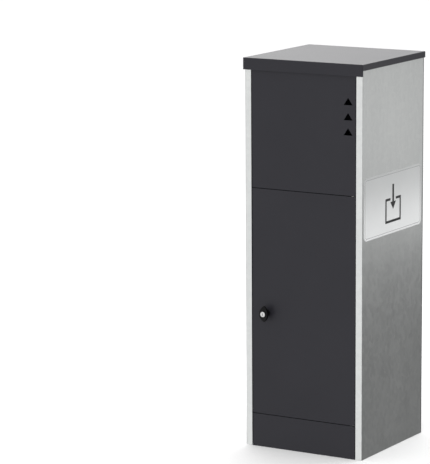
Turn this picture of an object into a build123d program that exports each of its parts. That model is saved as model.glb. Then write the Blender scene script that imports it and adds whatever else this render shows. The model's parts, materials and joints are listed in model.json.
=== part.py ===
from build123d import *
import os

# Parcel drop box: a free-standing sheet-metal cabinet with a top-hinged drop lid, a letter shaft
# behind the upper front panel and a lockable collection door with a mail holder on its inside.
# Frame: +X to the right seen from the front, -Y is the front, +Z up.
# Origin: floor level, centre of the body footprint, which is the centre of the anchor holes.

os.makedirs("parts", exist_ok=True)

# ---------------------------------------------------------------- driving dimensions (mm)
width = 385.0
depth = 380.0
body_height = 1147.0
side_sheet = 1.5
panel_sheet = 1.2
frame_sheet = 1.5
base_sheet = 2.0
bend_radius = 3.0
panel_bend = 2.0
panel_gap = 2.0
seat_gap = 0.3
running_clearance = 0.05

# Side shells
strip_width = 20.0
rear_flange = 14.0

# Front openings
plinth_height = 98.0
upper_panel_bottom = 772.0
front_depth = 23.0
panel_lip = 12.0
corner_relief = 8.0
plinth_flange = 20.0
upper_top_flange = 13.0
upper_bottom_hem = 5.0

# Vent triangles in the upper front panel
vent_count = 3
vent_base = 29.0
vent_rise = 21.0
vent_pitch = 43.4
vent_edge_inset = 24.5
vent_top_drop = 115.0

# Posts, top frame and letter partition
post_flange = 17.0
post_strip_gap = 3.0
top_rail_width = 16.0
top_rail_drop = 30.0
stud_edge_inset = 60.0
letter_shaft_depth = 47.0
partition_drop = 503.0
partition_flange = 15.0
partition_hem = 8.0
partition_side_gap = 0.1
partition_stud_share = 0.4

# Base
base_height = 92.0
base_foot = 40.0
base_shelf = 16.0
base_front_gap = 4.5
base_rear_gap = 2.0
anchor_spacing_x = 330.0
anchor_spacing_y = 280.0
anchor_hole = 10.0
floor_sheet = 1.5
floor_screw_share = 0.37
plinth_screw_shares = (0.27, 0.67)

# Door
door_hinge_flange = 22.0
door_free_flange = 14.5
door_free_lip = 10.0
door_edge_flange = 16.0
pivot_inset = 11.0
pivot_setback = 9.0
hinge_pin = 5.0
bush_wall = 1.5
bush_collar = 11.0
bush_collar_height = 1.7
bush_length = 6.0
bracket_sheet = 2.0
bracket_reach = 9.5
bracket_tab = 24.0
bracket_rivet_inset = 9.0
bracket_rivet_drops = (8.0, 18.0)
pin_head = 9.0
pin_head_height = 2.5
pin_grip = 12.0
buffer_end_inset = 70.0
buffer_diameter = 9.0
buffer_stem = 4.0
buffer_stem_tail = 2.0

# Mail holder on the door
holder_depth = 36.0
holder_lock_inset = 39.0
holder_hinge_inset = 77.0
holder_height = 333.0
holder_flange = 12.0
holder_top_gap = 2.0
window_drop = 154.0
window_height = 74.0
window_hinge_inset = 7.5
window_flare_down = 21.0
window_flare_up = 102.0
window_flare_width = 22.0
window_overcut = 1.0
window_flare_lean = 0.12
holder_stud_low = 15.0
holder_stud_high = 16.0
holder_bend = 0.8

# Lock
lock_edge_inset = 50.5
lock_below_holder = 31.0
barrel_diameter = 16.0
lock_flange_margin = 1.5
lock_flange_height = 2.0
lock_flange_edge = 0.8
barrel_length = 21.0
lock_nut_margin = 2.5
lock_nut_height = 5.0
spindle_diameter = 12.0
spindle_square = 8.0
knob_height = 49.0
knob_width = 27.0
knob_rise = 24.0
knob_end_rise = 19.0
knob_tip_radius = 3.0
knob_stem_height = 14.0
knob_stem_diameter = 16.0
core_diameter = 15.5
core_face = 29.0
core_depth = 12.0
core_edge = 0.8
core_clearance = 0.08
keyway_width = 1.6
keyway_height = 7.5
keyway_depth = 6.0
cam_sheet = 2.5
cam_width = 18.0
cam_reach = 30.0
cam_corner = 3.0
cam_screw_diameter = 5.0
cam_screw_head = 10.4
cam_screw_length = 9.5
cam_screw_depth = 10.5
catch_overlap = 12.0
catch_height = 30.0
catch_corner = 2.0
catch_rivet_inset = 12.0
catch_rivet_reach = 9.0
cam_catch_gap = 0.4

# Lid
lid_lift = 1.8
lid_overhang_side = 3.5
lid_overhang_front = 6.0
lid_overhang_rear = 4.0
lid_front_skirt = 34.5
lid_side_skirt = 18.0
lid_rear_hem = 5.0
lid_hinge_inset = 23.5
leaf_width = 29.0
leaf_sheet = 1.2
lid_leaf_length = 51.0
body_leaf_length = 42.0
lid_pin = 4.0
lid_axis_drop = 12.5
lid_stud_inset = 45.0
lid_stud_spacing = 12.0
lid_stud_tail = 0.6
lid_leaf_bend = 1.7
leaf_rivet_reach = 8.0
leaf_rivet_drops = (16.0, 34.0)
rest_pad_width = 11.0
rest_pad_length = 14.0
rear_pad_reach = 100.0
rear_pad_width = 10.0
pad_corner = 2.0
knuckle_gap = 0.2

# Fasteners
stud_diameter = 5.0
stud_length = 9.0
nut_flats = 8.0
nut_height = 4.0
small_stud_diameter = 4.0
small_stud_length = 5.5
small_nut_flats = 7.0
small_nut_height = 2.6
rivet_diameter = 4.0
rivet_head = 8.0
rivet_head_height = 1.2
small_rivet_head = 7.2
rivet_shop_head = 6.0
rear_rivet_low = 60.0
rear_rivet_high = 97.0
screw_head_diameter = 9.5
screw_head_height = 3.0
screw_head_edge = 1.2
low_screw_head_height = 2.4
low_screw_head_edge = 1.0
panel_screw_inset = 47.0

# Label plate on the right side
badge_edge_inset = 12.5
badge_height = 181.0
badge_sheet = 1.0
badge_rim = 3.0
badge_rim_rise = 0.4
badge_corner = 14.0
badge_forward = 2.5
badge_drop = 416.5
symbol_width = 96.0
symbol_height = 72.0
symbol_line = 7.0
symbol_mouth = 34.0
symbol_rise = 0.4
symbol_below = 22.0
arrow_width = 9.8
arrow_length = 52.0
arrow_above = 27.0
arrow_head_half = 17.0
arrow_head_top = 2.0
arrow_head_tip = 20.0

# ---------------------------------------------------------------- derived places
front = -depth / 2
back = depth / 2
half_width = width / 2
web_inside = half_width - side_sheet
strip_edge = half_width - strip_width
panel_edge = strip_edge - panel_gap
post_front = front + side_sheet
post_rear = front + front_depth + frame_sheet
panel_inner = front + panel_sheet
side_rear = back - panel_sheet
frame_rear = side_rear - side_sheet
lip_end = panel_edge - panel_lip
vent_x = panel_edge - vent_edge_inset
vent_top_base_z = body_height - vent_top_drop
partition_front = front + letter_shaft_depth
partition_bottom = body_height - partition_drop
door_bottom = plinth_height + panel_gap
door_top = upper_panel_bottom - panel_gap
pivot_x = panel_edge - pivot_inset
pivot_y = front + pivot_setback
holder_inner_y = front + holder_depth - panel_sheet
holder_lock_side = holder_lock_inset - panel_edge
holder_hinge_side = panel_edge - holder_hinge_inset
holder_top = door_top - holder_top_gap
holder_bottom = holder_top - holder_height
window_top = holder_top - window_drop
window_bottom = window_top - window_height
window_hinge_side = holder_hinge_side - window_hinge_inset
window_flare_bottom = window_bottom - window_flare_down
window_flare_top = window_top + window_flare_up
lock_x = lock_edge_inset - panel_edge
lock_z = holder_bottom - lock_below_holder
catch_end = lock_x - cam_reach + catch_overlap
lid_underside = body_height + lid_lift
lid_height = lid_underside + panel_sheet
lid_hinge_x = half_width - lid_hinge_inset
lid_axis_z = lid_height - lid_axis_drop
leaf_underside = lid_underside - leaf_sheet
knuckle_radius = lid_pin / 2 + running_clearance + leaf_sheet
lid_axis_y = back + seat_gap + knuckle_radius
rail_top = body_height
frame_top = body_height - frame_sheet


def at_y(y):
    """Sketch plane facing the front at the given Y, its own x along +X and its own y along +Z."""
    return Plane.XZ.offset(-y)


def at_x(x):
    """Sketch plane facing +X at the given X, its own x along +Y and its own y along +Z."""
    return Plane.YZ.offset(x)


def mirrored(points):
    """The same outline on the other side of the YZ plane, run the other way round."""
    return [(-x, y) for x, y in reversed(points)]


def folded(points, sheet, radius):
    """Face of a bent sheet: the points run along one face of it and the sheet lies on their left."""
    with BuildSketch() as section:
        with BuildLine():
            run = FilletPolyline(*points, radius=radius)
            offset(run, amount=sheet, side=Side.LEFT)
        make_face()
    return section.sketch


def finish(builder, name):
    """Label a finished piece and write it under its own name."""
    builder.part.label = name
    export_step(builder.part, "parts/" + name + ".step")


# ---------------------------------------------------------------- shared fastener places
post_stud_y = (post_front + post_rear) / 2
post_stud_count = 5
post_stud_pitch = (body_height - 2 * stud_edge_inset) / (post_stud_count - 1)
post_stud_heights = [stud_edge_inset + row * post_stud_pitch for row in range(post_stud_count)]
rail_stud_reach = depth / 4
base_stud_places = [(y, base_height / 2) for y in (-rail_stud_reach, rail_stud_reach)]
rail_stud_z = body_height - top_rail_drop / 2
rail_stud_places = [(y, rail_stud_z) for y in (-rail_stud_reach, rail_stud_reach)]
partition_stud_y = partition_front + partition_flange / 2 + panel_sheet / 2
partition_middle = (partition_bottom + body_height - top_rail_drop) / 2
partition_stud_span = (body_height - top_rail_drop - partition_bottom) * partition_stud_share
partition_stud_heights = [partition_middle + step * partition_stud_span for step in (-1, 0, 1)]
partition_stud_places = [(partition_stud_y, z) for z in partition_stud_heights]
post_stud_places = [(post_stud_y, z) for z in post_stud_heights]
stud_places = post_stud_places + base_stud_places + rail_stud_places + partition_stud_places

rear_rivet_x = half_width - rear_flange / 2 - side_sheet / 2
rear_rivet_count = 7
rear_rivet_pitch = (body_height - rear_rivet_low - rear_rivet_high) / (rear_rivet_count - 1)
rear_rivet_heights = [rear_rivet_low + row * rear_rivet_pitch for row in range(rear_rivet_count)]
rear_rivet_places = [(s * rear_rivet_x, z) for s in (-1, 1) for z in rear_rivet_heights]

panel_screw_x = panel_edge - panel_sheet - (panel_lip - panel_sheet) / 2
upper_middle = (upper_panel_bottom + body_height) / 2
upper_screw_span = (body_height - upper_panel_bottom) / 2 - panel_screw_inset
upper_screw_heights = [upper_middle + step * upper_screw_span for step in (-1, 0, 1)]
plinth_screw_heights = [plinth_height * share for share in plinth_screw_shares]
panel_screw_heights = upper_screw_heights + plinth_screw_heights
panel_screw_places = [(s * panel_screw_x, z) for s in (-1, 1) for z in panel_screw_heights]

holder_stud_columns = (holder_lock_side - holder_flange / 2, holder_hinge_side + holder_flange / 2)
holder_middle = (holder_bottom + holder_top) / 2
holder_stud_heights = (holder_bottom + holder_stud_low, holder_middle, holder_top - holder_stud_high)
holder_stud_places = [(x, z) for x in holder_stud_columns for z in holder_stud_heights]

lid_stud_y = back - lid_stud_inset
lid_stud_reach = lid_stud_spacing / 2
lid_stud_places = [
    (s * lid_hinge_x + dx, lid_stud_y) for s in (-1, 1) for dx in (-lid_stud_reach, lid_stud_reach)
]

body_leaf_rivet_places = [
    (s * lid_hinge_x + dx, lid_axis_z - drop)
    for s in (-1, 1)
    for dx in (-leaf_rivet_reach, leaf_rivet_reach)
    for drop in leaf_rivet_drops
]

buffer_x = -(panel_edge - door_free_lip / 2)
buffer_heights = (door_bottom + buffer_end_inset, door_top - buffer_end_inset)
buffer_places = [(buffer_x, z) for z in buffer_heights]

catch_rivet_x = -(web_inside - catch_rivet_inset)
catch_rivet_places = [(catch_rivet_x, lock_z + dz) for dz in (-catch_rivet_reach, catch_rivet_reach)]
bracket_rivet_x = web_inside - bracket_rivet_inset
tab_outer_z = upper_panel_bottom + panel_sheet + seat_gap + bracket_sheet
tab_lower_z = plinth_height - panel_sheet - seat_gap - bracket_sheet
bracket_rivet_heights = [tab_outer_z + drop for drop in bracket_rivet_drops]
bracket_rivet_heights += [tab_lower_z - drop for drop in bracket_rivet_drops]
bracket_rivet_places = [(bracket_rivet_x, z) for z in bracket_rivet_heights]

floor_screw_reach = depth * floor_screw_share
floor_screw_places = [
    (s * (web_inside - base_shelf / 2), y) for s in (-1, 1) for y in (-floor_screw_reach, floor_screw_reach)
]

# ---------------------------------------------------------------- side panels
# Bright galvanised shells: front flange, side web and rear flange bent from one sheet.
side_outline = [
    (strip_edge, front),
    (half_width, front),
    (half_width, side_rear),
    (half_width - rear_flange, side_rear),
]
for side_name, outline in (("side_panel_right", side_outline), ("side_panel_left", mirrored(side_outline))):
    with BuildPart() as side_panel:
        with BuildSketch():
            add(folded(outline, side_sheet, bend_radius))
        extrude(amount=body_height)
        with BuildSketch(at_y(side_rear)):
            with Locations(*rear_rivet_places):
                Circle(rivet_diameter / 2)
        extrude(amount=side_sheet, both=True, mode=Mode.SUBTRACT)
    finish(side_panel, side_name)

# Weld studs on the inner faces of the side webs, which leave the outside plain, and their nuts.
stud_planes = [at_x(web_inside), Plane.YZ.offset(-web_inside)]
with BuildPart() as side_panel_studs:
    for direction, plane in ((-1, stud_planes[0]), (1, stud_planes[1])):
        with BuildSketch(plane):
            with Locations(*stud_places):
                Circle(stud_diameter / 2)
        extrude(amount=direction * stud_length)
finish(side_panel_studs, "side_panel_studs")

with BuildPart() as stud_nuts:
    for direction in (-1, 1):
        for places, sheet in (
            (post_stud_places, frame_sheet),
            (base_stud_places, base_sheet),
            (rail_stud_places, frame_sheet),
            (partition_stud_places, panel_sheet),
        ):
            with BuildSketch(at_x(-direction * (web_inside - sheet))):
                with Locations(*places):
                    RegularPolygon(nut_flats / 2, 6, major_radius=False)
                    Circle(stud_diameter / 2, mode=Mode.SUBTRACT)
            extrude(amount=direction * nut_height)
finish(stud_nuts, "stud_nuts")

# ---------------------------------------------------------------- corner posts
# Channels behind the front strips. Their rear legs carry the front panels and stop the door.
post_outline = [
    (web_inside - frame_sheet - post_flange + post_strip_gap, post_front),
    (web_inside, post_front),
    (web_inside, post_rear),
    (lip_end, post_rear),
]
post_front_edge = post_outline[0][0]
hinge_zone_low = plinth_height - corner_relief - bracket_tab
hinge_zone_high = upper_panel_bottom + corner_relief
for side_name, outline in (("corner_post_right", post_outline), ("corner_post_left", mirrored(post_outline))):
    with BuildPart() as corner_post:
        with BuildSketch():
            add(folded(outline, frame_sheet, panel_bend))
        extrude(amount=frame_top)
        # cap tab folded over the channel's top
        sign = 1 if side_name == "corner_post_right" else -1
        with BuildSketch(Plane.XY.offset(frame_top)):
            with Locations((sign * (web_inside + post_front_edge) / 2, (post_front + post_rear) / 2)):
                RectangleRounded(web_inside - post_front_edge, post_rear - post_front, panel_bend)
        extrude(amount=frame_sheet)
        # stud holes in the web
        with BuildSketch(at_x(sign * web_inside)):
            with Locations(*post_stud_places):
                Circle(stud_diameter / 2)
        extrude(amount=frame_sheet, both=True, mode=Mode.SUBTRACT)
        # holes in the rear leg
        leg_holes = [(x, z) for x, z in panel_screw_places if x * sign > 0]
        small_holes = bracket_rivet_places if sign > 0 else catch_rivet_places + buffer_places
        with BuildSketch(at_y(post_rear)):
            with Locations(*leg_holes):
                Circle(stud_diameter / 2)
            with Locations(*small_holes):
                Circle(rivet_diameter / 2)
        extrude(amount=frame_sheet, both=True, mode=Mode.SUBTRACT)
        if sign > 0:
            # the leg is cut back beside the door, where the hinge edge swings through
            with BuildSketch(at_y(post_rear)):
                with Locations(((post_front_edge + lip_end) / 2, (hinge_zone_low + hinge_zone_high) / 2)):
                    Rectangle(post_front_edge - lip_end, hinge_zone_high - hinge_zone_low)
            extrude(amount=frame_sheet, both=True, mode=Mode.SUBTRACT)
    finish(corner_post, side_name)

# ---------------------------------------------------------------- back panel
with BuildPart() as back_panel:
    with BuildSketch(at_y(side_rear)):
        with Locations((0, body_height / 2)):
            Rectangle(width, body_height)
        with Locations(*(rear_rivet_places + body_leaf_rivet_places)):
            Circle(rivet_diameter / 2, mode=Mode.SUBTRACT)
    extrude(amount=-panel_sheet)
finish(back_panel, "back_panel")

with BuildPart() as back_panel_rivets:
    with BuildSketch(at_y(frame_rear)):
        with Locations(*rear_rivet_places):
            Circle(rivet_diameter / 2)
    extrude(amount=-(back - frame_rear))
    with BuildSketch(at_y(back)):
        with Locations(*rear_rivet_places):
            Circle(rivet_head / 2)
    extrude(amount=-rivet_head_height)
    with BuildSketch(at_y(frame_rear)):
        with Locations(*rear_rivet_places):
            Circle(rivet_shop_head / 2)
    extrude(amount=rivet_head_height)
finish(back_panel_rivets, "back_panel_rivets")

# ---------------------------------------------------------------- front panels
front_outline = [
    (-lip_end, front + front_depth),
    (-panel_edge, front + front_depth),
    (-panel_edge, front),
    (panel_edge, front),
    (panel_edge, front + front_depth),
    (lip_end, front + front_depth),
]
skin_inner_edge = panel_edge - panel_sheet

with BuildPart() as upper_front_panel:
    with BuildSketch(Plane.XY.offset(upper_panel_bottom)):
        add(folded(front_outline, panel_sheet, panel_bend))
    extrude(amount=body_height - upper_panel_bottom)
    # corner reliefs: the side flanges start above the hinge bracket
    with BuildSketch(Plane.XY.offset(upper_panel_bottom)):
        with Locations((0, (panel_inner + post_rear) / 2)):
            Rectangle(2 * panel_edge, post_rear - panel_inner)
    extrude(amount=corner_relief, mode=Mode.SUBTRACT)
    with BuildSketch(Plane.XY.offset(upper_panel_bottom)):
        with Locations((0, panel_inner + upper_bottom_hem / 2)):
            Rectangle(2 * skin_inner_edge, upper_bottom_hem)
    extrude(amount=panel_sheet)
    with BuildSketch(Plane.XY.offset(body_height)):
        with Locations((0, panel_inner + upper_top_flange / 2)):
            Rectangle(2 * skin_inner_edge, upper_top_flange)
    extrude(amount=-panel_sheet)
    # three upward vent triangles near the right edge
    with BuildSketch(at_y(front)):
        for row in range(vent_count):
            base_z = vent_top_base_z - row * vent_pitch
            with BuildLine():
                Polyline(
                    (vent_x - vent_base / 2, base_z),
                    (vent_x + vent_base / 2, base_z),
                    (vent_x, base_z + vent_rise),
                    close=True,
                )
            make_face()
    extrude(amount=-panel_sheet, mode=Mode.SUBTRACT)
    with BuildSketch(at_y(front + front_depth)):
        with Locations(*[(x, z) for x, z in panel_screw_places if z > upper_panel_bottom]):
            Circle(stud_diameter / 2)
    extrude(amount=panel_sheet, mode=Mode.SUBTRACT)
finish(upper_front_panel, "upper_front_panel")

with BuildPart() as plinth_panel:
    with BuildSketch():
        add(folded(front_outline, panel_sheet, panel_bend))
    extrude(amount=plinth_height)
    with BuildSketch(Plane.XY.offset(plinth_height)):
        with Locations((0, (panel_inner + post_rear) / 2)):
            Rectangle(2 * panel_edge, post_rear - panel_inner)
    extrude(amount=-corner_relief, mode=Mode.SUBTRACT)
    with BuildSketch(Plane.XY.offset(plinth_height)):
        with Locations((0, panel_inner + plinth_flange / 2 - panel_sheet / 2)):
            Rectangle(2 * skin_inner_edge, plinth_flange - panel_sheet)
        with Locations((pivot_x, pivot_y)):
            Circle(hinge_pin / 2 + 2 * seat_gap, mode=Mode.SUBTRACT)
    extrude(amount=-panel_sheet)
    with BuildSketch(at_y(front + front_depth)):
        with Locations(*[(x, z) for x, z in panel_screw_places if z < plinth_height]):
            Circle(stud_diameter / 2)
    extrude(amount=panel_sheet, mode=Mode.SUBTRACT)
finish(plinth_panel, "plinth_panel")

# Pan-head screws from inside the cabinet, and the press nuts they hold in the panels' lips.
with BuildPart() as panel_screws:
    with BuildSketch(at_y(post_rear)):
        with Locations(*panel_screw_places):
            Circle(screw_head_diameter / 2)
    extrude(amount=-screw_head_height)
    fillet(panel_screws.faces().group_by(Axis.Y)[-1].edges(), radius=screw_head_edge)
    with BuildSketch(at_y(post_rear)):
        with Locations(*panel_screw_places):
            Circle(stud_diameter / 2)
    extrude(amount=frame_sheet + panel_sheet + nut_height)
finish(panel_screws, "panel_screws")

with BuildPart() as panel_press_nuts:
    with BuildSketch(at_y(front + front_depth - panel_sheet)):
        with Locations(*panel_screw_places):
            RegularPolygon(nut_flats / 2, 6, major_radius=False, rotation=30)
            Circle(stud_diameter / 2, mode=Mode.SUBTRACT)
    extrude(amount=nut_height)
finish(panel_press_nuts, "panel_press_nuts")

# ---------------------------------------------------------------- base frame and floor plate
base_front = post_rear + base_front_gap
base_rear = frame_rear - base_rear_gap
base_mid_y = (base_front + base_rear) / 2
base_length = base_rear - base_front
with BuildPart() as base_frame:
    for height, start, inset in (
        (base_sheet, 0.0, base_foot),
        (base_height, 0.0, base_sheet),
        (base_sheet, base_height - base_sheet, base_shelf),
    ):
        with BuildSketch(Plane.XY.offset(start)):
            with Locations((0, base_mid_y)):
                Rectangle(2 * web_inside, base_length)
                Rectangle(2 * (web_inside - inset), base_length - 2 * inset, mode=Mode.SUBTRACT)
        extrude(amount=height)
    with BuildSketch():
        with GridLocations(anchor_spacing_x, anchor_spacing_y, 2, 2):
            Circle(anchor_hole / 2)
    extrude(amount=base_sheet, mode=Mode.SUBTRACT)
    with BuildSketch(Plane.XY.offset(base_height)):
        with Locations(*floor_screw_places):
            Circle(stud_diameter / 2)
    extrude(amount=-base_sheet, mode=Mode.SUBTRACT)
    for sign in (-1, 1):
        with BuildSketch(at_x(sign * web_inside)):
            with Locations(*base_stud_places):
                Circle(stud_diameter / 2)
        extrude(amount=-sign * base_sheet, mode=Mode.SUBTRACT)
finish(base_frame, "base_frame")

with BuildPart() as floor_plate:
    with BuildSketch(Plane.XY.offset(base_height)):
        with Locations((0, base_mid_y)):
            Rectangle(2 * (web_inside - seat_gap), base_length - 2 * seat_gap)
        with Locations(*floor_screw_places):
            Circle(stud_diameter / 2, mode=Mode.SUBTRACT)
    extrude(amount=floor_sheet)
finish(floor_plate, "floor_plate")

with BuildPart() as floor_plate_screws:
    with BuildSketch(Plane.XY.offset(base_height + floor_sheet)):
        with Locations(*floor_screw_places):
            Circle(screw_head_diameter / 2)
    extrude(amount=low_screw_head_height)
    fillet(floor_plate_screws.faces().group_by(Axis.Z)[-1].edges(), radius=low_screw_head_edge)
    with BuildSketch(Plane.XY.offset(base_height + floor_sheet)):
        with Locations(*floor_screw_places):
            Circle(stud_diameter / 2)
    extrude(amount=-(floor_sheet + base_sheet + nut_height))
finish(floor_plate_screws, "floor_plate_screws")

# ---------------------------------------------------------------- top frame and letter partition
# Angle rails round three sides of the drop opening, notched beside the lid hinge nuts.
rail_front = post_rear
rail_mid_y = (rail_front + frame_rear) / 2
with BuildPart() as top_frame:
    for drop, inset in ((frame_sheet, top_rail_width), (top_rail_drop, frame_sheet)):
        with BuildSketch(Plane.XY.offset(rail_top)):
            with Locations((0, rail_mid_y)):
                RectangleRounded(2 * web_inside, frame_rear - rail_front, panel_bend)
            with Locations((0, rail_mid_y - inset)):
                Rectangle(2 * (web_inside - inset), frame_rear - rail_front, mode=Mode.SUBTRACT)
        extrude(amount=-drop)
    notch_width = 2 * (lid_hinge_x + lid_stud_reach + small_nut_flats)
    with BuildSketch(Plane.XY.offset(rail_top)):
        with Locations((0, lid_stud_y)):
            Rectangle(notch_width, 2 * small_nut_flats)
    extrude(amount=-frame_sheet, mode=Mode.SUBTRACT)
    for sign in (-1, 1):
        with BuildSketch(at_x(sign * web_inside)):
            with Locations(*rail_stud_places):
                Circle(stud_diameter / 2)
        extrude(amount=-sign * frame_sheet, mode=Mode.SUBTRACT)
finish(top_frame, "top_frame")

# Guard plate between the letter shaft and the parcel chamber.
partition_top = frame_top - seat_gap
partition_edge = web_inside - frame_sheet - partition_side_gap
with BuildPart() as letter_partition:
    with BuildSketch(Plane.XY.offset(partition_bottom)):
        with Locations((0, partition_front + panel_sheet / 2)):
            Rectangle(2 * partition_edge, panel_sheet)
    extrude(amount=partition_top - partition_bottom)
    flange_height = body_height - top_rail_drop - seat_gap - partition_bottom
    with BuildSketch(Plane.XY.offset(partition_bottom)):
        for sign in (-1, 1):
            with Locations((sign * (web_inside - panel_sheet / 2), partition_front + partition_flange / 2)):
                Rectangle(panel_sheet, partition_flange)
        with Locations((0, partition_front + panel_sheet / 2)):
            Rectangle(2 * web_inside, panel_sheet)
    extrude(amount=flange_height)
    with BuildSketch(Plane.XY.offset(partition_bottom)):
        with Locations((0, partition_front + partition_hem / 2)):
            Rectangle(2 * partition_edge, partition_hem)
    extrude(amount=panel_sheet)
    with BuildSketch(Plane.XY.offset(partition_top)):
        with Locations((0, partition_front + partition_hem / 2)):
            Rectangle(2 * partition_edge, partition_hem)
    extrude(amount=-panel_sheet)
    for sign in (-1, 1):
        with BuildSketch(at_x(sign * web_inside)):
            with Locations(*partition_stud_places):
                Circle(stud_diameter / 2)
        extrude(amount=-sign * panel_sheet, mode=Mode.SUBTRACT)
finish(letter_partition, "letter_partition")

# Rubber pads that the closed lid comes down on.
with BuildPart() as lid_rest_pads:
    pad_x = (web_inside + post_front_edge) / 2
    with BuildSketch(Plane.XY.offset(body_height)):
        with Locations((-pad_x, post_stud_y), (pad_x, post_stud_y)):
            RectangleRounded(rest_pad_width, rest_pad_length, pad_corner)
        rear_pad_y = frame_rear - top_rail_width / 2
        with Locations((-rear_pad_reach, rear_pad_y), (rear_pad_reach, rear_pad_y)):
            RectangleRounded(rest_pad_length, rear_pad_width, pad_corner)
    extrude(amount=lid_underside - body_height - seat_gap)
finish(lid_rest_pads, "lid_rest_pads")

# ---------------------------------------------------------------- lid
lid_front = front - lid_overhang_front
lid_rear = back + lid_overhang_rear
lid_half = half_width + lid_overhang_side
lid_mid_y = (lid_front + lid_rear) / 2
with BuildPart() as lid_cover:
    with BuildSketch(Plane.XY.offset(lid_height)):
        with Locations((0, lid_mid_y)):
            Rectangle(2 * lid_half, lid_rear - lid_front)
    extrude(amount=-lid_front_skirt)
    fillet(lid_cover.edges().filter_by(Axis.Z), radius=panel_bend)
    fillet(lid_cover.faces().sort_by(Axis.Z)[-1].edges(), radius=panel_bend)
    offset(amount=-panel_sheet, openings=lid_cover.faces().sort_by(Axis.Z)[0])
    # side skirts are shorter than the front one, the rear keeps only a hem
    side_cut = lid_front_skirt - lid_side_skirt
    skirt_rear = lid_front + panel_bend
    with BuildSketch(Plane.XY.offset(lid_height - lid_side_skirt)):
        with Locations((0, (skirt_rear + lid_rear) / 2)):
            Rectangle(2 * lid_half, lid_rear - skirt_rear)
    extrude(amount=-side_cut, mode=Mode.SUBTRACT)
    with BuildSketch(Plane.XY.offset(lid_height - lid_rear_hem)):
        with Locations((0, lid_rear)):
            Rectangle(2 * (lid_half - panel_bend), 4 * panel_bend)
    extrude(amount=-(lid_side_skirt - lid_rear_hem), mode=Mode.SUBTRACT)
finish(lid_cover, "lid_cover")

# Butt hinges: each has two outer knuckles on the body leaf and one middle knuckle on the lid leaf.
knuckle_width = (leaf_width - 2 * knuckle_gap) / 3
outer_knuckle_x = knuckle_width + knuckle_gap
hinge_centres = (-lid_hinge_x, lid_hinge_x)

with BuildPart() as lid_hinge_body_leaves:
    for centre in hinge_centres:
        with BuildSketch(at_x(centre - leaf_width / 2)):
            with Locations((lid_axis_y, lid_axis_z)):
                Circle(knuckle_radius)
        extrude(amount=leaf_width)
        with BuildSketch(at_x(centre - knuckle_width / 2 - knuckle_gap)):
            with Locations((lid_axis_y, lid_axis_z)):
                Circle(knuckle_radius + knuckle_gap)
        extrude(amount=knuckle_width + 2 * knuckle_gap, mode=Mode.SUBTRACT)
    with BuildSketch(at_y(back)):
        for centre in hinge_centres:
            with Locations((centre, lid_axis_z - body_leaf_length / 2 - knuckle_radius / 2)):
                Rectangle(leaf_width, body_leaf_length - knuckle_radius)
            for dx in (-outer_knuckle_x, outer_knuckle_x):
                with Locations((centre + dx, lid_axis_z - knuckle_radius)):
                    Rectangle(knuckle_width, 2 * knuckle_radius)
        with Locations(*body_leaf_rivet_places):
            Circle(rivet_diameter / 2, mode=Mode.SUBTRACT)
    extrude(amount=-leaf_sheet)
    with BuildSketch(at_x(-lid_hinge_x - leaf_width / 2)):
        with Locations((lid_axis_y, lid_axis_z)):
            Circle(lid_pin / 2)
    extrude(amount=2 * lid_hinge_x + leaf_width, mode=Mode.SUBTRACT)
finish(lid_hinge_body_leaves, "lid_hinge_body_leaves")

lid_leaf_rear = back + seat_gap + leaf_sheet
leaf_rise = lid_underside - lid_axis_z
lid_leaf_outline = [
    (lid_leaf_rear, lid_axis_z),
    (lid_leaf_rear, lid_underside),
    (lid_leaf_rear - lid_leaf_length, lid_underside),
]
with BuildPart() as lid_hinge_leaves:
    for centre in hinge_centres:
        with BuildSketch(at_x(centre - leaf_width / 2)):
            add(folded(lid_leaf_outline, leaf_sheet, lid_leaf_bend))
        extrude(amount=leaf_width)
        # the rise is cut away beside the middle knuckle
        for side in (-1, 1):
            with BuildSketch(Plane.XY.offset(leaf_underside)):
                with Locations((centre + side * leaf_width / 2, lid_leaf_rear)):
                    Rectangle(leaf_width - knuckle_width, 2 * knuckle_radius)
            extrude(amount=-2 * leaf_rise, mode=Mode.SUBTRACT)
        with BuildSketch(at_x(centre - knuckle_width / 2)):
            with Locations((lid_axis_y, lid_axis_z)):
                Circle(knuckle_radius)
        extrude(amount=knuckle_width)
    with BuildSketch(at_x(-lid_hinge_x - leaf_width / 2)):
        with Locations((lid_axis_y, lid_axis_z)):
            Circle(lid_pin / 2 + running_clearance)
    extrude(amount=2 * lid_hinge_x + leaf_width, mode=Mode.SUBTRACT)
    with BuildSketch(Plane.XY.offset(lid_underside)):
        with Locations(*lid_stud_places):
            Circle(small_stud_diameter / 2)
    extrude(amount=-leaf_sheet, mode=Mode.SUBTRACT)
finish(lid_hinge_leaves, "lid_hinge_leaves")

with BuildPart() as lid_hinge_pins:
    for centre in hinge_centres:
        with BuildSketch(at_x(centre - leaf_width / 2)):
            with Locations((lid_axis_y, lid_axis_z)):
                Circle(lid_pin / 2)
        extrude(amount=leaf_width)
finish(lid_hinge_pins, "lid_hinge_pins")

with BuildPart() as lid_hinge_rivets:
    with BuildSketch(at_y(side_rear)):
        with Locations(*body_leaf_rivet_places):
            Circle(rivet_diameter / 2)
    extrude(amount=-(panel_sheet + leaf_sheet))
    with BuildSketch(at_y(back + leaf_sheet)):
        with Locations(*body_leaf_rivet_places):
            Circle(rivet_head / 2)
    extrude(amount=-rivet_head_height)
finish(lid_hinge_rivets, "lid_hinge_rivets")

with BuildPart() as lid_weld_studs:
    with BuildSketch(Plane.XY.offset(lid_underside)):
        with Locations(*lid_stud_places):
            Circle(small_stud_diameter / 2)
    extrude(amount=-(leaf_sheet + small_nut_height + lid_stud_tail))
finish(lid_weld_studs, "lid_weld_studs")

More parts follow.
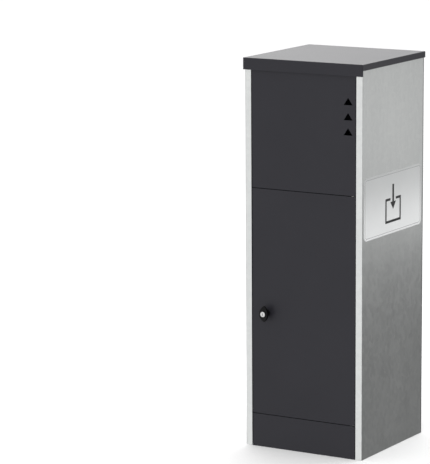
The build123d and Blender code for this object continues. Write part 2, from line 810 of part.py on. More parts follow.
with BuildPart() as lid_hinge_nuts:
    with BuildSketch(Plane.XY.offset(leaf_underside)):
        with Locations(*lid_stud_places):
            RegularPolygon(small_nut_flats / 2, 6, major_radius=False)
            Circle(small_stud_diameter / 2, mode=Mode.SUBTRACT)
    extrude(amount=-small_nut_height)
finish(lid_hinge_nuts, "lid_hinge_nuts")

# ---------------------------------------------------------------- door
door_outline = [
    (-(panel_edge - door_free_lip), front + door_free_flange),
    (-panel_edge, front + door_free_flange),
    (-panel_edge, front),
    (panel_edge, front),
    (panel_edge, front + door_hinge_flange),
]
bush_outer = hinge_pin / 2 + running_clearance + bush_wall
top_flange_gap = 4.0
with BuildPart() as door_panel:
    with BuildSketch(Plane.XY.offset(door_bottom)):
        add(folded(door_outline, panel_sheet, panel_bend))
    extrude(amount=door_top - door_bottom)
    # bottom flange, and top flange left out over the mail holder's mouth
    flange_y = panel_inner + (door_edge_flange - panel_sheet) / 2
    free_end = -skin_inner_edge
    lock_part = (free_end, holder_lock_side - holder_flange - top_flange_gap)
    hinge_part = (holder_hinge_side + top_flange_gap, skin_inner_edge)
    for level, direction, spans in (
        (door_bottom, 1, [(free_end, skin_inner_edge)]),
        (door_top, -1, [lock_part, hinge_part]),
    ):
        with BuildSketch(Plane.XY.offset(level)):
            for low, high in spans:
                with Locations(((low + high) / 2, flange_y)):
                    Rectangle(high - low, door_edge_flange - panel_sheet)
            with Locations((pivot_x, pivot_y)):
                Circle(bush_outer, mode=Mode.SUBTRACT)
        extrude(amount=direction * panel_sheet)
    with BuildSketch(at_y(front)):
        with Locations((lock_x, lock_z)):
            Circle(barrel_diameter / 2)
    extrude(amount=-panel_sheet, mode=Mode.SUBTRACT)
finish(door_panel, "door_panel")

with BuildPart() as door_hinge_bushes:
    for level, direction in ((door_bottom, 1), (door_top, -1)):
        with BuildSketch(Plane.XY.offset(level)):
            with Locations((pivot_x, pivot_y)):
                Circle(bush_outer)
        extrude(amount=direction * bush_length)
        with BuildSketch(Plane.XY.offset(level)):
            with Locations((pivot_x, pivot_y)):
                Circle(bush_collar / 2)
        extrude(amount=-direction * bush_collar_height)
    with BuildSketch():
        with Locations((pivot_x, pivot_y)):
            Circle(hinge_pin / 2 + running_clearance)
    extrude(amount=body_height, mode=Mode.SUBTRACT)
finish(door_hinge_bushes, "door_hinge_bushes")

# Pivot brackets on the right post: a shelf with the pin hole and a tab riveted to the post's leg.
bracket_front = post_front + frame_sheet + seat_gap
bracket_rear = front + front_depth
bracket_inner = pivot_x - bracket_reach
bracket_outer = web_inside - frame_sheet - panel_bend
tab_width = bracket_outer - post_front_edge - seat_gap
for bracket_name, shelf_low, tab_direction in (
    ("door_hinge_bracket_top", tab_outer_z - bracket_sheet, 1),
    ("door_hinge_bracket_bottom", tab_lower_z, -1),
):
    with BuildPart() as hinge_bracket:
        with BuildSketch(Plane.XY.offset(shelf_low)):
            with Locations(((bracket_inner + bracket_outer) / 2, (bracket_front + bracket_rear) / 2)):
                Rectangle(bracket_outer - bracket_inner, bracket_rear - bracket_front)
            with Locations((pivot_x, pivot_y)):
                Circle(hinge_pin / 2, mode=Mode.SUBTRACT)
        extrude(amount=bracket_sheet)
        tab_start = shelf_low if tab_direction < 0 else shelf_low + bracket_sheet
        with BuildSketch(at_y(bracket_rear)):
            with Locations((bracket_outer - tab_width / 2, tab_start + tab_direction * bracket_tab / 2)):
                Rectangle(tab_width, bracket_tab)
            with Locations(*bracket_rivet_places):
                Circle(rivet_diameter / 2, mode=Mode.SUBTRACT)
        extrude(amount=bracket_sheet)
    finish(hinge_bracket, bracket_name)

with BuildPart() as hinge_bracket_rivets:
    with BuildSketch(at_y(post_rear)):
        with Locations(*bracket_rivet_places):
            Circle(rivet_diameter / 2)
    extrude(amount=frame_sheet + bracket_sheet)
    with BuildSketch(at_y(post_rear)):
        with Locations(*bracket_rivet_places):
            Circle(small_rivet_head / 2)
    extrude(amount=-rivet_head_height)
    with BuildSketch(at_y(bracket_rear - bracket_sheet)):
        with Locations(*bracket_rivet_places):
            Circle(small_rivet_head / 2)
    extrude(amount=rivet_head_height)
finish(hinge_bracket_rivets, "hinge_bracket_rivets")

with BuildPart() as door_hinge_pins:
    for head_level, direction, tip in (
        (tab_outer_z, 1, door_top - pin_grip),
        (tab_lower_z, -1, door_bottom + pin_grip),
    ):
        with BuildSketch(Plane.XY.offset(head_level)):
            with Locations((pivot_x, pivot_y)):
                Circle(pin_head / 2)
        extrude(amount=direction * pin_head_height)
        with BuildSketch(Plane.XY.offset(head_level)):
            with Locations((pivot_x, pivot_y)):
                Circle(hinge_pin / 2)
        extrude(amount=tip - head_level)
finish(door_hinge_pins, "door_hinge_pins")

# Rubber buffers on the left post, which the door's free-edge lip closes against.
with BuildPart() as door_buffers:
    with BuildSketch(at_y(front + front_depth)):
        with Locations(*buffer_places):
            Circle(buffer_diameter / 2)
    extrude(amount=front_depth - door_free_flange - seat_gap)
    with BuildSketch(at_y(front + front_depth)):
        with Locations(*buffer_places):
            Circle(buffer_stem / 2)
    extrude(amount=-(frame_sheet + buffer_stem_tail))
finish(door_buffers, "door_buffers")

# ---------------------------------------------------------------- mail holder
holder_lock_inner = holder_lock_side + panel_sheet
holder_hinge_inner = holder_hinge_side - panel_sheet
holder_outline = [
    (holder_lock_side - holder_flange, panel_inner),
    (holder_lock_inner, panel_inner),
    (holder_lock_inner, holder_inner_y),
    (holder_hinge_inner, holder_inner_y),
    (holder_hinge_inner, panel_inner),
    (holder_hinge_side + holder_flange, panel_inner),
]
with BuildPart() as mail_holder:
    with BuildSketch(Plane.XY.offset(holder_bottom)):
        add(folded(holder_outline, panel_sheet, holder_bend))
    extrude(amount=holder_top - holder_bottom)
    with BuildSketch(Plane.XY.offset(holder_bottom)):
        with Locations(((holder_lock_inner + holder_hinge_inner) / 2, (panel_inner + holder_inner_y) / 2)):
            Rectangle(holder_hinge_inner - holder_lock_inner, holder_inner_y - panel_inner)
    extrude(amount=panel_sheet)
    # window in the back wall, which flares out where it meets the open lock-side end
    with BuildSketch(at_y(holder_inner_y + 2 * panel_sheet)):
        with BuildLine():
            flare_start = holder_lock_side + window_flare_width
            window_floor = Line((window_hinge_side, window_bottom), (flare_start, window_bottom))
            flare_low = JernArc(window_floor @ 1, (-1, 0), window_flare_down, 90)
            outer_low = Line(flare_low @ 1, (holder_lock_side - window_overcut, window_flare_bottom))
            outer_side = Line(outer_low @ 1, (holder_lock_side - window_overcut, window_flare_top))
            outer_high = Line(outer_side @ 1, (holder_lock_inner + window_overcut, window_flare_top))
            flare_high = Spline(
                outer_high @ 1,
                (flare_start, window_top),
                tangents=[(window_flare_lean, -1), (1, -window_flare_lean)],
            )
            window_ceiling = Line(flare_high @ 1, (window_hinge_side, window_top))
            Line(window_ceiling @ 1, (window_hinge_side, window_bottom))
        make_face()
    extrude(amount=3 * panel_sheet, mode=Mode.SUBTRACT)
    # the lock-side end wall is open over the same height
    with BuildSketch(at_x(holder_lock_side - window_overcut)):
        with Locations((
            (panel_inner + panel_sheet + holder_inner_y + 2 * panel_sheet) / 2,
            (window_flare_bottom + window_flare_top) / 2,
        )):
            Rectangle(holder_inner_y - panel_inner + panel_sheet, window_flare_top - window_flare_bottom)
    extrude(amount=window_overcut + 2 * panel_sheet, mode=Mode.SUBTRACT)
    with BuildSketch(at_y(panel_inner + panel_sheet)):
        with Locations(*holder_stud_places):
            Circle(small_stud_diameter / 2)
    extrude(amount=panel_sheet, mode=Mode.SUBTRACT)
finish(mail_holder, "mail_holder")

with BuildPart() as door_weld_studs:
    with BuildSketch(at_y(panel_inner)):
        with Locations(*holder_stud_places):
            Circle(small_stud_diameter / 2)
    extrude(amount=-small_stud_length)
finish(door_weld_studs, "door_weld_studs")

with BuildPart() as mail_holder_nuts:
    with BuildSketch(at_y(panel_inner + panel_sheet)):
        with Locations(*holder_stud_places):
            RegularPolygon(small_nut_flats / 2, 6, major_radius=False)
            Circle(small_stud_diameter / 2, mode=Mode.SUBTRACT)
    extrude(amount=-small_nut_height)
finish(mail_holder_nuts, "mail_holder_nuts")

# ---------------------------------------------------------------- lock
lock_flange_face = front - lock_flange_height
knob_base = lock_flange_face - seat_gap
cam_front = front + front_depth + cam_catch_gap
core_front = front - core_face
core_back = core_front + core_depth
spindle_front = core_back + seat_gap
spindle_round_end = cam_front

with BuildPart() as lock_housing:
    with BuildSketch(at_y(front)):
        with Locations((lock_x, lock_z)):
            Circle(barrel_diameter / 2 + lock_flange_margin)
    extrude(amount=lock_flange_height)
    fillet(lock_housing.faces().sort_by(Axis.Y)[0].edges(), radius=lock_flange_edge)
    with BuildSketch(at_y(front)):
        with Locations((lock_x, lock_z)):
            Circle(barrel_diameter / 2)
    extrude(amount=-barrel_length)
    with BuildSketch(at_y(lock_flange_face)):
        with Locations((lock_x, lock_z)):
            Circle(spindle_diameter / 2 + running_clearance)
    extrude(amount=-(lock_flange_height + barrel_length), mode=Mode.SUBTRACT)
finish(lock_housing, "lock_housing")

with BuildPart() as lock_nut:
    with BuildSketch(at_y(panel_inner)):
        with Locations((lock_x, lock_z)):
            RegularPolygon(barrel_diameter / 2 + lock_nut_margin, 6, major_radius=False)
            Circle(barrel_diameter / 2, mode=Mode.SUBTRACT)
    extrude(amount=-lock_nut_height)
finish(lock_nut, "lock_nut")

# Turning knob: a lens-shaped wing, two circular arcs in front view and domed in side view, on a round stem.
lens_radius = (knob_height**2 + knob_width**2) / (4 * knob_width)
with BuildPart() as lock_knob:
    with BuildSketch(at_y(knob_base - knob_stem_height)):
        with Locations((lock_x, lock_z)):
            with Locations((lens_radius - knob_width / 2, 0)):
                Circle(lens_radius)
            with Locations((knob_width / 2 - lens_radius, 0)):
                Circle(lens_radius, mode=Mode.INTERSECT)
        fillet(vertices(), radius=knob_tip_radius)
    extrude(amount=knob_rise - knob_stem_height)
    with BuildSketch(at_x(lock_x - knob_width)):
        with BuildLine():
            foot = Polyline(
                (knob_base - knob_end_rise, lock_z - knob_height / 2),
                (knob_base, lock_z - knob_height / 2),
                (knob_base, lock_z + knob_height / 2),
                (knob_base - knob_end_rise, lock_z + knob_height / 2),
            )
            ThreePointArc(foot @ 1, (knob_base - knob_rise, lock_z), foot @ 0)
        make_face()
    extrude(amount=2 * knob_width, mode=Mode.INTERSECT)
    with BuildSketch(at_y(knob_base)):
        with Locations((lock_x, lock_z)):
            Circle(knob_stem_diameter / 2)
    extrude(amount=knob_stem_height)
    with BuildSketch(at_y(core_back + seat_gap)):
        with Locations((lock_x, lock_z)):
            Circle(core_diameter / 2 + core_clearance)
    extrude(amount=core_face, mode=Mode.SUBTRACT)
    with BuildSketch(at_y(knob_base)):
        with Locations((lock_x, lock_z)):
            Circle(spindle_diameter / 2)
    extrude(amount=knob_base - spindle_front, mode=Mode.SUBTRACT)
finish(lock_knob, "lock_knob")

with BuildPart() as lock_core:
    with BuildSketch(at_y(core_back)):
        with Locations((lock_x, lock_z)):
            Circle(core_diameter / 2)
    extrude(amount=core_depth)
    chamfer(lock_core.faces().sort_by(Axis.Y)[0].edges(), length=core_edge)
    with BuildSketch(at_y(core_front)):
        with Locations((lock_x, lock_z)):
            Rectangle(keyway_width, keyway_height)
    extrude(amount=-keyway_depth, mode=Mode.SUBTRACT)
finish(lock_core, "lock_core")

with BuildPart() as lock_spindle:
    with BuildSketch(at_y(spindle_front)):
        with Locations((lock_x, lock_z)):
            Circle(spindle_diameter / 2)
    extrude(amount=-(spindle_round_end - spindle_front))
    with BuildSketch(at_y(spindle_round_end)):
        with Locations((lock_x, lock_z)):
            Rectangle(spindle_square, spindle_square)
    extrude(amount=-cam_sheet)
    with BuildSketch(at_y(spindle_round_end + cam_sheet)):
        with Locations((lock_x, lock_z)):
            Circle(cam_screw_diameter / 2)
    extrude(amount=cam_screw_depth, mode=Mode.SUBTRACT)
finish(lock_spindle, "lock_spindle")

with BuildPart() as lock_cam:
    with BuildSketch(at_y(cam_front)):
        with Locations((lock_x, lock_z)):
            Circle(cam_width / 2)
        with Locations((lock_x, lock_z + cam_reach / 2)):
            Rectangle(cam_width, cam_reach)
        fillet(vertices().group_by(Axis.Y)[-1], radius=cam_corner)
        with Locations((lock_x, lock_z)):
            Rectangle(spindle_square, spindle_square, mode=Mode.SUBTRACT)
    extrude(amount=-cam_sheet)
finish(lock_cam, "lock_cam")

with BuildPart() as cam_screw:
    with BuildSketch(at_y(cam_front + cam_sheet)):
        with Locations((lock_x, lock_z)):
            Circle(cam_screw_head / 2)
    extrude(amount=-screw_head_height)
    fillet(cam_screw.faces().sort_by(Axis.Y)[-1].edges(), radius=low_screw_head_edge)
    with BuildSketch(at_y(cam_front + cam_sheet)):
        with Locations((lock_x, lock_z)):
            Circle(cam_screw_diameter / 2)
    extrude(amount=cam_screw_length)
finish(cam_screw, "cam_screw")

# Strike plate on the left post: the cam turns behind its free end.
catch_left = -(web_inside - frame_sheet - panel_bend)
with BuildPart() as lock_catch:
    with BuildSketch(at_y(front + front_depth)):
        with Locations(((catch_left + catch_end) / 2, lock_z)):
            RectangleRounded(catch_end - catch_left, catch_height, catch_corner)
        with Locations(*catch_rivet_places):
            Circle(rivet_diameter / 2, mode=Mode.SUBTRACT)
    extrude(amount=frame_sheet)
finish(lock_catch, "lock_catch")

with BuildPart() as lock_catch_rivets:
    with BuildSketch(at_y(post_rear)):
        with Locations(*catch_rivet_places):
            Circle(rivet_diameter / 2)
    extrude(amount=2 * frame_sheet)
    with BuildSketch(at_y(post_rear)):
        with Locations(*catch_rivet_places):
            Circle(small_rivet_head / 2)
    extrude(amount=-rivet_head_height)
    with BuildSketch(at_y(front + front_depth - frame_sheet)):
        with Locations(*catch_rivet_places):
            Circle(small_rivet_head / 2)
    extrude(amount=rivet_head_height)
finish(lock_catch_rivets, "lock_catch_rivets")

# ---------------------------------------------------------------- label plate on the right side
badge_length = depth - 2 * badge_edge_inset
badge_centre_y = -badge_forward
badge_centre_z = body_height - badge_drop
with BuildPart() as side_badge_plate:
    with BuildSketch(at_x(half_width)):
        with Locations((badge_centre_y, badge_centre_z)):
            RectangleRounded(badge_length, badge_height, badge_corner)
    extrude(amount=badge_sheet)
    with BuildSketch(at_x(half_width + badge_sheet)):
        with Locations((badge_centre_y, badge_centre_z)):
            RectangleRounded(badge_length, badge_height, badge_corner)
            RectangleRounded(
                badge_length - 2 * badge_rim,
                badge_height - 2 * badge_rim,
                badge_corner - badge_rim,
                mode=Mode.SUBTRACT,
            )
    extrude(amount=badge_rim_rise)
finish(side_badge_plate, "side_badge_plate")

# Plain parcel symbol: an open carton in outline and an arrow dropping in.
with BuildPart() as badge_pictogram:
    with BuildSketch(at_x(half_width + badge_sheet)):
        with Locations((badge_centre_y, badge_centre_z - symbol_below)):
            Rectangle(symbol_width, symbol_height)
            Rectangle(symbol_width - 2 * symbol_line, symbol_height - 2 * symbol_line, mode=Mode.SUBTRACT)
            with Locations((0, (symbol_height - symbol_line) / 2)):
                Rectangle(symbol_mouth, symbol_line, mode=Mode.SUBTRACT)
        with Locations((badge_centre_y, badge_centre_z + arrow_above)):
            Rectangle(arrow_width, arrow_length)
        with BuildLine():
            Polyline(
                (badge_centre_y - arrow_head_half, badge_centre_z + arrow_head_top),
                (badge_centre_y + arrow_head_half, badge_centre_z + arrow_head_top),
                (badge_centre_y, badge_centre_z - arrow_head_tip),
                close=True,
            )
        make_face()
    extrude(amount=symbol_rise)
finish(badge_pictogram, "badge_pictogram")
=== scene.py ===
import json
import math

import bmesh
import bpy
import numpy as np
from mathutils import Matrix, Vector

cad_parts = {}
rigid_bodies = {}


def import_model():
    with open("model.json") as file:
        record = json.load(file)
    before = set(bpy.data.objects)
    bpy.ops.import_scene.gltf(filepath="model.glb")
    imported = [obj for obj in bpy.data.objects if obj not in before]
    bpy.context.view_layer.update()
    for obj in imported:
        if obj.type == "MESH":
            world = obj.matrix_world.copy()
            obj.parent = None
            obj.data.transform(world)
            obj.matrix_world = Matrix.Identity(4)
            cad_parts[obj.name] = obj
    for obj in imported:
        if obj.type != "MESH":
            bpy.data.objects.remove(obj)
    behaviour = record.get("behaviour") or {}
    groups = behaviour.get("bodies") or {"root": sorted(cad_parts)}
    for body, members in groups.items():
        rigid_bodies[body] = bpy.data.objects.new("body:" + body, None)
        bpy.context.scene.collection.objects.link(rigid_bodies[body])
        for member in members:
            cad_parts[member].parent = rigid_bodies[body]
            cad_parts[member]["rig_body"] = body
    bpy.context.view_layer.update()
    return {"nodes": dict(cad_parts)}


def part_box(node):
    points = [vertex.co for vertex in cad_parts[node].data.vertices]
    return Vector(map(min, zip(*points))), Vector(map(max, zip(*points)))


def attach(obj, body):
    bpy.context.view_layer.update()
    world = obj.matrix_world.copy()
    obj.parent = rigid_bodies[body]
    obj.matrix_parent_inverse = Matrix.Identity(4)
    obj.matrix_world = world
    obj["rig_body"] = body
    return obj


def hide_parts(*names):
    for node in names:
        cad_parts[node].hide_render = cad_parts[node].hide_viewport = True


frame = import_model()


# ---------------------------------------------------------------- side shells
# Two tall shells of bright galvanised sheet, 1.5 mm thick, each bent from one blank: a 20 mm strip
# that frames the front, the side wall, and a narrow flange behind the back panel. They stay bare,
# so the zinc shows its crystals and the cloudy bands that it picked up as it ran off the sheet.

class Wire:
    """A socket in a node tree. Arithmetic on it adds Math nodes, and node() adds any other node."""

    def __init__(self, tree, socket=None):
        self.tree = tree
        self.socket = socket

    def node(self, kind, settings, sockets, output=0):
        """Adds a node: its settings first, then a value or another Wire on each named socket."""
        made = self.tree.nodes.new(kind)
        for name, value in settings.items():
            setattr(made, name, value)
        for name, value in sockets.items():
            if isinstance(value, Wire):
                self.tree.links.new(value.socket, made.inputs[name])
            else:
                made.inputs[name].default_value = value
        return Wire(self.tree, made.outputs[output])

    def math(self, operation, first, second):
        return self.node("ShaderNodeMath", {"operation": operation}, {0: first, 1: second})

    def __add__(self, other):
        return self.math("ADD", self, other)

    def __sub__(self, other):
        return self.math("SUBTRACT", self, other)

    def __rsub__(self, other):
        return self.math("SUBTRACT", other, self)

    def __mul__(self, other):
        return self.math("MULTIPLY", self, other)

    __radd__ = __add__
    __rmul__ = __mul__


def new_finish(name, steady):
    """A material whose steady values stand on the shader's own sockets. Gives it, its shader and a wire."""
    material = bpy.data.materials.new(name)
    material.use_nodes = True
    shader = material.node_tree.nodes["Principled BSDF"]
    for socket, value in steady.items():
        shader.inputs[socket].default_value = value
    return material, shader, Wire(material.node_tree)


def feed(shader, socket, wire):
    """Links a wire to one of the shader's sockets."""
    wire.tree.links.new(wire.socket, shader.inputs[socket])


def on_object(wire, shift=(0.0, 0.0, 0.0), stretch=(1.0, 1.0, 1.0)):
    """Object coordinates in metres, moved by shift and scaled by stretch."""
    place = wire.node("ShaderNodeTexCoord", {}, {}, "Object")
    return wire.node("ShaderNodeMapping", {}, {"Vector": place, "Location": shift, "Scale": stretch})


def noise(place, scale, detail=2.0, roughness=0.5):
    """Soft noise from 0 to 1, with about scale lumps in a metre."""
    sockets = {"Vector": place, "Scale": scale, "Detail": detail, "Roughness": roughness}
    return place.node("ShaderNodeTexNoise", {}, sockets)


def between(wire, low, high):
    """0 below low, 1 above high, and a smooth rise from one to the other."""
    settings = {"interpolation_type": "SMOOTHSTEP"}
    return wire.node("ShaderNodeMapRange", settings, {0: wire, 1: low, 2: high})


def colour_mix(wire, first, second):
    """The first colour where wire is 0, the second where it is 1."""
    return wire.node("ShaderNodeMix", {"data_type": "RGBA"}, {0: wire, 6: first, 7: second}, 2)


def bump(height, depth, strength=1.0):
    """A normal from a height of 0 to 1, over a relief that is depth metres deep."""
    return height.node("ShaderNodeBump", {}, {"Height": height, "Distance": depth, "Strength": strength})


def dress(node, material):
    """Puts a material in every slot of a CAD node."""
    for slot in frame["nodes"][node].material_slots:
        slot.material = material


def galvanised(name, shift):
    """Bare zinc: faint crystals about 12 mm wide whose facets lean a little, upright bands, fine grain."""
    material, shader, wire = new_finish(name, {"Metallic": 1.0, "Specular IOR Level": 0.5})
    place = on_object(wire, shift)
    cells = {"Vector": place, "Scale": 85.0, "Randomness": 1.0}
    crystal = wire.node("ShaderNodeTexVoronoi", {"feature": "F1"}, cells, "Color")
    facet = wire.node("ShaderNodeSeparateColor", {}, {0: crystal})
    cloud = noise(on_object(wire, shift, (1.0, 1.0, 0.3)), 9.0, 3.0)
    band = noise(on_object(wire, shift, (1.0, 1.0, 0.12)), 60.0, 3.0, 0.6)
    grain = noise(place, 900.0, 2.0)
    tone = facet * 0.22 + cloud * 0.34 + band * 0.32 + grain * 0.12
    shade = colour_mix(between(tone, 0.2, 0.8), (0.66, 0.675, 0.67, 1.0), (0.75, 0.765, 0.755, 1.0))
    feed(shader, "Base Color", shade)
    feed(shader, "Roughness", 0.40 + facet * 0.05 + cloud * 0.05 - band * 0.03)
    upright = wire.node("ShaderNodeNewGeometry", {}, {}, "Normal")
    lean = wire.node("ShaderNodeVectorMath", {"operation": "MULTIPLY_ADD"},
                     {0: crystal, 1: (0.014, 0.014, 0.014), 2: upright})
    level = wire.node("ShaderNodeVectorMath", {"operation": "SUBTRACT"},
                      {0: lean, 1: (0.007, 0.007, 0.007)})
    sockets = {"Height": grain, "Distance": 0.00003, "Strength": 0.6, "Normal": level}
    feed(shader, "Normal", wire.node("ShaderNodeBump", {}, sockets))
    return material


dress("side_panel_right", galvanised("galvanised_right", (0.0, 0.0, 0.0)))
dress("side_panel_left", galvanised("galvanised_left", (3.1, 1.7, 0.4)))


# ---------------------------------------------------------------- outer coated panels
# Upper front panel, plinth panel, door and back panel: 1.2 mm steel sheet with folded edges, under
# an anthracite powder coat with a fine leathery grain. The panels screw or rivet to the frame inside.

anthracite = (0.0150, 0.0146, 0.0200, 1.0)
anthracite_thin = (0.0185, 0.0180, 0.0240, 1.0)


def powder_coat(name, thick, thin, shift, gloss=0.46):
    """Powder coat: two close tones in slow clouds, a fine grain, and soft orange peel under it."""
    material, shader, wire = new_finish(name, {"Metallic": 0.0, "Specular IOR Level": 0.30})
    place = on_object(wire, shift)
    cloud = noise(place, 4.0, 3.0)
    grain = noise(place, 1100.0, 3.0, 0.6)
    peel = noise(place, 260.0, 2.0)
    tone = cloud * 0.6 + grain * 0.4
    feed(shader, "Base Color", colour_mix(between(tone, 0.3, 0.7), thick, thin))
    feed(shader, "Roughness", gloss - 0.05 + cloud * 0.06 + grain * 0.06)
    feed(shader, "Normal", bump(grain * 0.55 + peel * 0.45, 0.00018, 0.8))
    return material


for number, node in enumerate(("upper_front_panel", "door_panel", "plinth_panel", "back_panel")):
    dress(node, powder_coat("coat_" + node, anthracite, anthracite_thin, (2.0 * number, 0.7, 1.3)))


# ---------------------------------------------------------------- frame inside
# Corner posts, top frame, base frame, floor plate, letter partition and the strike for the lock:
# 1.5 to 2 mm steel, folded, in the same powder coat, thinner and duller where nobody looks.

coat_inside = powder_coat("coat_inside", (0.0125, 0.0122, 0.0165, 1.0), anthracite, (0.0, 5.0, 0.0), 0.55)
for node in ("corner_post_left", "corner_post_right", "top_frame", "base_frame", "floor_plate"):
    dress(node, coat_inside)
dress("letter_partition", powder_coat("coat_partition", anthracite, anthracite_thin, (4.0, 5.0, 2.0)))
dress("lock_catch", coat_inside)


# ---------------------------------------------------------------- lid and mail holder
# The lid is one pan of sheet with a deep front skirt, the mail holder a folded tray that hangs on
# the inside of the door. Both carry the coat of the outer panels.

dress("lid_cover", powder_coat("coat_lid", anthracite, anthracite_thin, (8.0, 2.0, 0.0), 0.36))
dress("mail_holder", powder_coat("coat_mail_holder", anthracite, anthracite_thin, (9.0, 1.0, 3.0)))
coat_leaves = powder_coat("coat_hinge_leaves", anthracite, anthracite_thin, (1.0, 9.0, 3.0), 0.50)
dress("lid_hinge_leaves", coat_leaves)
dress("lid_hinge_body_leaves", coat_leaves)


# ---------------------------------------------------------------- zinc-plated small parts
# Hinge brackets and pins, screws, press nuts and the spindle: small steel parts, blue zinc plated.

def zinc_plate(name, shift=(0.0, 0.0, 0.0)):
    """Blue zinc plating: cool silver with faint clouds and a fine tumbled grain."""
    material, shader, wire = new_finish(name, {"Metallic": 1.0})
    place = on_object(wire, shift)
    cloud = noise(place, 120.0, 2.0)
    grain = noise(place, 2600.0, 2.0)
    feed(shader, "Base Color", colour_mix(cloud, (0.60, 0.63, 0.66, 1.0), (0.76, 0.77, 0.76, 1.0)))
    feed(shader, "Roughness", 0.24 + cloud * 0.12 + grain * 0.08)
    feed(shader, "Normal", bump(grain, 0.00002, 0.5))
    return material


zinc = zinc_plate("zinc_small_parts")
for node in ("door_hinge_bracket_top", "door_hinge_bracket_bottom", "door_hinge_pins", "lid_hinge_pins",
             "panel_screws", "panel_press_nuts", "floor_plate_screws", "lock_spindle", "cam_screw",
             "lock_nut"):
    dress(node, zinc)


# ---------------------------------------------------------------- threaded studs
# Steel studs welded to the inside of the side walls, the door and the lid, so that no screw shows
# outside. Each has a rolled metric thread with a short bevel at its free end.

def separate_solids(node):
    """Lowest and highest corner of each separate solid in a node, as two arrays. Points at one place
    are one point, and every triangle hands its lowest label to its corners until none changes."""
    mesh = frame["nodes"][node].data
    mesh.calc_loop_triangles()
    points = np.empty(3 * len(mesh.vertices))
    mesh.vertices.foreach_get("co", points)
    corners = np.empty(3 * len(mesh.loop_triangles), np.int32)
    mesh.loop_triangles.foreach_get("vertices", corners)
    places, same = np.unique(points.reshape(-1, 3).round(6), axis=0, return_inverse=True)
    corners = same.ravel()[corners].reshape(-1, 3)
    label = np.arange(len(places))
    settled = False
    while not settled:
        passed = label.copy()
        np.minimum.at(passed, corners.ravel(), np.repeat(label[corners].min(axis=1), 3))
        passed = passed[passed]
        settled = np.array_equal(passed, label)
        label = passed
    groups = [places[label == which] for which in np.unique(label)]
    return np.array([g.min(axis=0) for g in groups]), np.array([g.max(axis=0) for g in groups])


def around(centres, axis, radius, along, steps):
    """Grids of points round an axis: at step t the point stands radius away from the line through the
    centre, turned by t of a full turn, and along further on. Radius and along may vary with the step."""
    turn = np.arange(steps) * (2 * math.pi / steps)
    grid = np.zeros((len(centres), len(radius), steps, 3))
    grid[..., axis] = along
    grid[..., (axis + 1) % 3] = radius * np.cos(turn)
    grid[..., (axis + 2) % 3] = radius * np.sin(turn)
    return grid + np.asarray(centres)[:, None, None, :]


def skin(name, grids, ring, node, material, crease=35.0):
    """One mesh from grids of points [copy, station, step]: every step joins the next one round the
    turn, and with ring the last station joins the first. It replaces a CAD node and rides as it does."""
    copies, stations, steps = grids.shape[:3]
    station = np.arange(stations if ring else stations - 1)[:, None]
    step = np.arange(steps)[None, :]
    here, there = station * steps, (station + 1) % stations * steps
    after = (step + 1) % steps
    quads = np.stack([here + step, here + after, there + after, there + step], axis=-1).reshape(-1, 4)
    quads = quads[None] + (np.arange(copies) * stations * steps)[:, None, None]
    mesh = bpy.data.meshes.new(name)
    mesh.from_pydata(grids.reshape(-1, 3).tolist(), [], quads.reshape(-1, 4).tolist())
    shape = bmesh.new()
    shape.from_mesh(mesh)
    bmesh.ops.remove_doubles(shape, verts=shape.verts, dist=1e-7)
    bmesh.ops.recalc_face_normals(shape, faces=shape.faces)
    shape.to_mesh(mesh)
    shape.free()
    mesh.polygons.foreach_set("use_smooth", np.ones(len(mesh.polygons), bool))
    mesh.set_sharp_from_angle(angle=math.radians(crease))
    mesh.materials.append(material)
    piece = bpy.data.objects.new(name, mesh)
    bpy.context.scene.collection.objects.link(piece)
    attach(piece, frame["nodes"][node]["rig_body"])
    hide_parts(node)
    return piece


thread_deep = 0.61
stud_smooth = 50.0


def threaded(node, axis, free_end, pitch):
    """Studs of a node: the radius drops and rises once in each pitch along the stud, and the ridge
    moves on by one pitch in each turn. The free end has a bevel one pitch long."""
    low, high = separate_solids(node)
    centres = (low + high) / 2
    radius = (high - low)[0, (axis + 1) % 3] / 2
    length = (high - low)[0, axis]
    steps, per_pitch = 24, 6
    along = np.linspace(-length / 2, length / 2, int(length / pitch * per_pitch) + 1)[:, None]
    turn = np.arange(steps)[None, :] / steps
    ridge = np.abs((along / pitch - turn) % 1.0 * 2 - 1)
    deep = thread_deep * pitch
    reach = radius - deep * np.clip(1.2 - 1.4 * ridge, 0, 1)
    from_free = length / 2 - along * free_end
    reach = np.minimum(reach, radius - deep + from_free)
    cap = np.zeros((1, steps))
    reach = np.concatenate([cap, reach, cap])
    along = np.concatenate([along[:1], along, along[-1:]]) + cap.T[:1]
    return around(centres, axis, reach, along, steps)


# the studs on the two side walls point inwards, so the free end depends on the wall
pitch_m5 = 0.0008
pitch_m4 = 0.0007
stud_zinc = zinc_plate("zinc_studs", (0.3, 0.0, 0.0))
wall_studs = threaded("side_panel_studs", 0, 1, pitch_m5)
stud_middle = wall_studs[..., 0].mean(axis=(1, 2), keepdims=True)
on_right = stud_middle.ravel() > 0
wall_studs[on_right, :, :, 0] = (2 * stud_middle - wall_studs[..., 0])[on_right]
door_studs = threaded("door_weld_studs", 1, 1, pitch_m4)
lid_studs = threaded("lid_weld_studs", 2, -1, pitch_m4)
skin("threaded_wall_studs", wall_studs, False, "side_panel_studs", stud_zinc, stud_smooth)
skin("threaded_door_studs", door_studs, False, "door_weld_studs", stud_zinc, stud_smooth)
skin("threaded_lid_studs", lid_studs, False, "lid_weld_studs", stud_zinc, stud_smooth)


# ---------------------------------------------------------------- hexagon nuts
# Plated steel nuts that draw the posts, the mail holder and the lid hinges onto the studs. Their
# corners are turned off at 30 degrees on both faces and the thread starts in a small countersink.

radius_m5 = 0.0025
radius_m4 = 0.0020
nut_smooth = 25.0
face_share = 0.97
bore_share = 0.97
sink_share = 0.12


